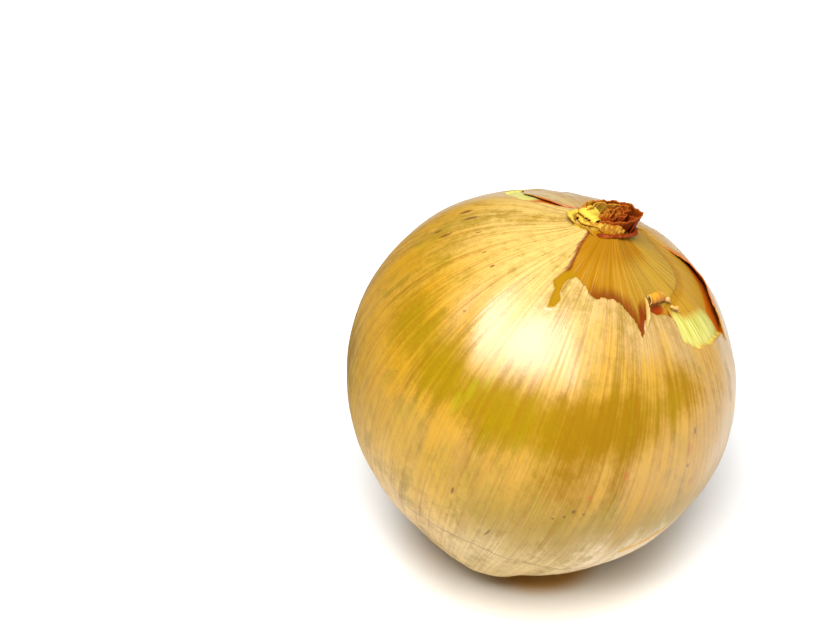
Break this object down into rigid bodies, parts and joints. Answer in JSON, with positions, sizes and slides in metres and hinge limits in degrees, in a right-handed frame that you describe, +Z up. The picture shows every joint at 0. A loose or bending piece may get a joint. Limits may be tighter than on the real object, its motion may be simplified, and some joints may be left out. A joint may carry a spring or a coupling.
{
  "type": "onion",
  "caption": "Large dry yellow onion with a short withered neck, torn papery outer skin and dried roots, leaning on the side of its base.",
  "frame": {"origin": "on the surface it rests on, in the small flat spot under the middle of the bulb", "axes": "+Z up; the neck leans towards +X, with the bulb's own axis 18 degrees from upright"},
  "size_m": [0.0872, 0.0877, 0.0909],
  "materials": {
    "outer_skin": "thin glossy dry skin, peach to ochre, with fine lengthwise veins",
    "dried_neck": "crumpled withered leaf bases, dark red-brown with golden sides",
    "dried_roots": "matt brown dried roots on a rough root plate"
  },
  "bodies": {
    "root": {"bulb": "outer_skin", "neck": "dried_neck", "roots": "dried_roots"}
  },
  "joints": []
}
